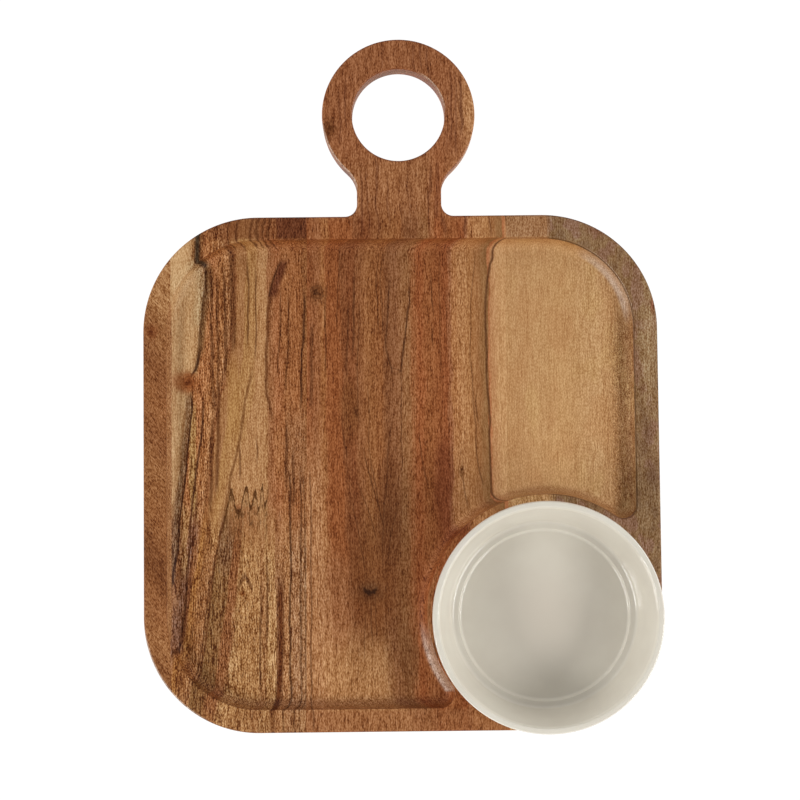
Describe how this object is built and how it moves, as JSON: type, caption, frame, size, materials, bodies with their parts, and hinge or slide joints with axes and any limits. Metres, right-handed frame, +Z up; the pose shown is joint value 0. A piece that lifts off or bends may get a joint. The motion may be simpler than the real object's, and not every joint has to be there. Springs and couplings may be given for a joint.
{
  "type": "chip and dip server",
  "caption": "Square wooden serving board with a ring handle, a routed chip pocket and a round cream dip bowl that lifts out of a corner seat.",
  "frame": {"origin": "on the underside of the board, below the middle of its square body", "axes": "+Y towards the ring handle, along the staves; +Z up out of the chip pocket and the bowl; +X to the side of the bowl"},
  "size_m": [0.3048, 0.4107, 0.0452],
  "materials": {
    "left_edge_stave": "oiled",
    "left_stave": "oiled",
    "handle_stave": "oiled",
    "right_stave": "oiled",
    "dip_bowl": "gloss glaze"
  },
  "bodies": {
    "board": {"left_edge_stave": "left_edge_stave", "left_stave": "left_stave", "handle_stave": "handle_stave", "right_stave": "right_stave"},
    "bowl": {"dip_bowl": "dip_bowl"}
  },
  "joints": [
    {"name": "bowl_lift", "type": "slide", "parent": "board", "child": "bowl", "axis": [0, 0, 1], "range_m": [0, 0.1]}
  ]
}
